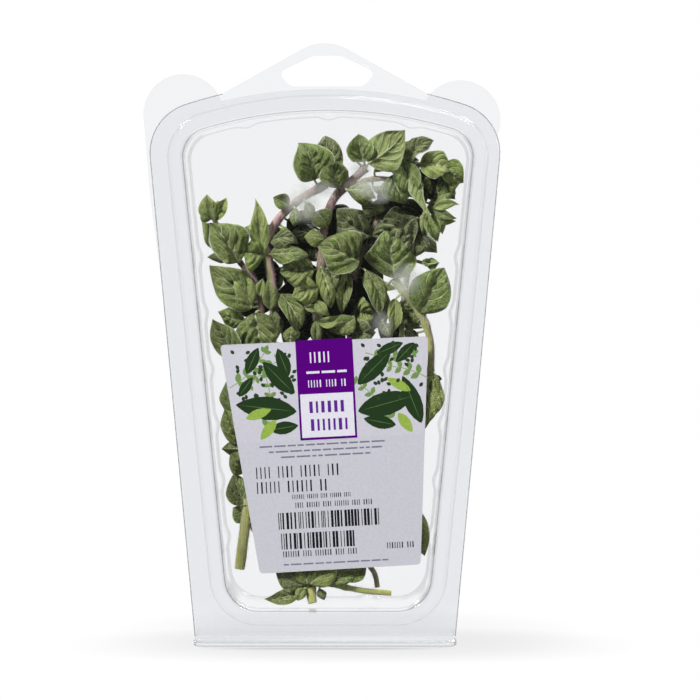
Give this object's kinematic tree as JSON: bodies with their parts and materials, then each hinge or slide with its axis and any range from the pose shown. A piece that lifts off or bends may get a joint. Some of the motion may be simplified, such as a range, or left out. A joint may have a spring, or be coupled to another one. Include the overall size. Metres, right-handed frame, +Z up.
{
  "type": "oregano sprigs in a hinged clear pack",
  "caption": "Cut leafy oregano sprigs in a clear hinged pack with a raised rim, fluted tray, hang tab, pull ears, standing foot and a paper label.",
  "frame": {"origin": "on the surface the pack stands on, in the middle of the parting plane of lid and tray", "axes": "+Z up the pack to the hang tab, -Y out of the lid and its label, +X to the right seen from the front"},
  "size_m": [0.119, 0.0346, 0.2006],
  "materials": {
    "clear_sheet": "clear thermoformed sheet with sharp highlights on its rims",
    "label_paper": "coated label paper, satin",
    "leaf": "soft and downy, paler on the underside",
    "stem": "downy, green to dull purple"
  },
  "bodies": {
    "tray": {"back_leaf_1": "leaf", "back_leaf_2": "leaf", "back_leaf_3": "leaf", "back_leaf_4": "leaf", "back_leaf_5": "leaf", "back_leaf_6": "leaf", "back_shell": "clear_sheet", "back_stem": "stem", "branch_leaf_1": "leaf", "branch_leaf_2": "leaf", "branch_leaf_3": "leaf", "branch_leaf_4": "leaf", "branch_leaf_5": "leaf", "branch_stem": "stem", "bud_leaf_1": "leaf", "bud_leaf_2": "leaf", "bud_leaf_3": "leaf", "bud_leaf_4": "leaf", "bud_leaf_5": "leaf", "bud_leaf_6": "leaf", "bud_leaf_7": "leaf", "bud_leaf_8": "leaf", "bud_stem": "stem", "far_leaf_1": "leaf", "far_leaf_2": "leaf", "far_leaf_3": "leaf", "far_leaf_4": "leaf", "far_leaf_5": "leaf", "far_leaf_6": "leaf", "far_stem": "stem", "left_leaf_1": "leaf", "left_leaf_2": "leaf", "left_leaf_3": "leaf", "left_leaf_4": "leaf", "left_leaf_5": "leaf", "left_leaf_6": "leaf", "left_leaf_7": "leaf", "left_leaf_8": "leaf", "left_stem": "stem", "low_leaf_1": "leaf", "low_stem": "stem", "middle_leaf_1": "leaf", "middle_leaf_2": "leaf", "middle_leaf_3": "leaf", "middle_leaf_4": "leaf", "middle_leaf_5": "leaf", "middle_leaf_6": "leaf", "middle_leaf_7": "leaf", "middle_leaf_8": "leaf", "middle_leaf_9": "leaf", "middle_stem": "stem", "right_leaf_1": "leaf", "right_leaf_2": "leaf", "right_leaf_3": "leaf", "right_leaf_4": "leaf", "right_leaf_5": "leaf", "right_stem": "stem"},
    "lid": {"front_shell": "clear_sheet", "label": "label_paper"}
  },
  "joints": [
    {"name": "lid_hinge", "type": "hinge", "parent": "tray", "child": "lid", "pos_m": [0, -0.0012, 0], "axis": [1, 0, 0], "range_deg": [0, 175]}
  ]
}
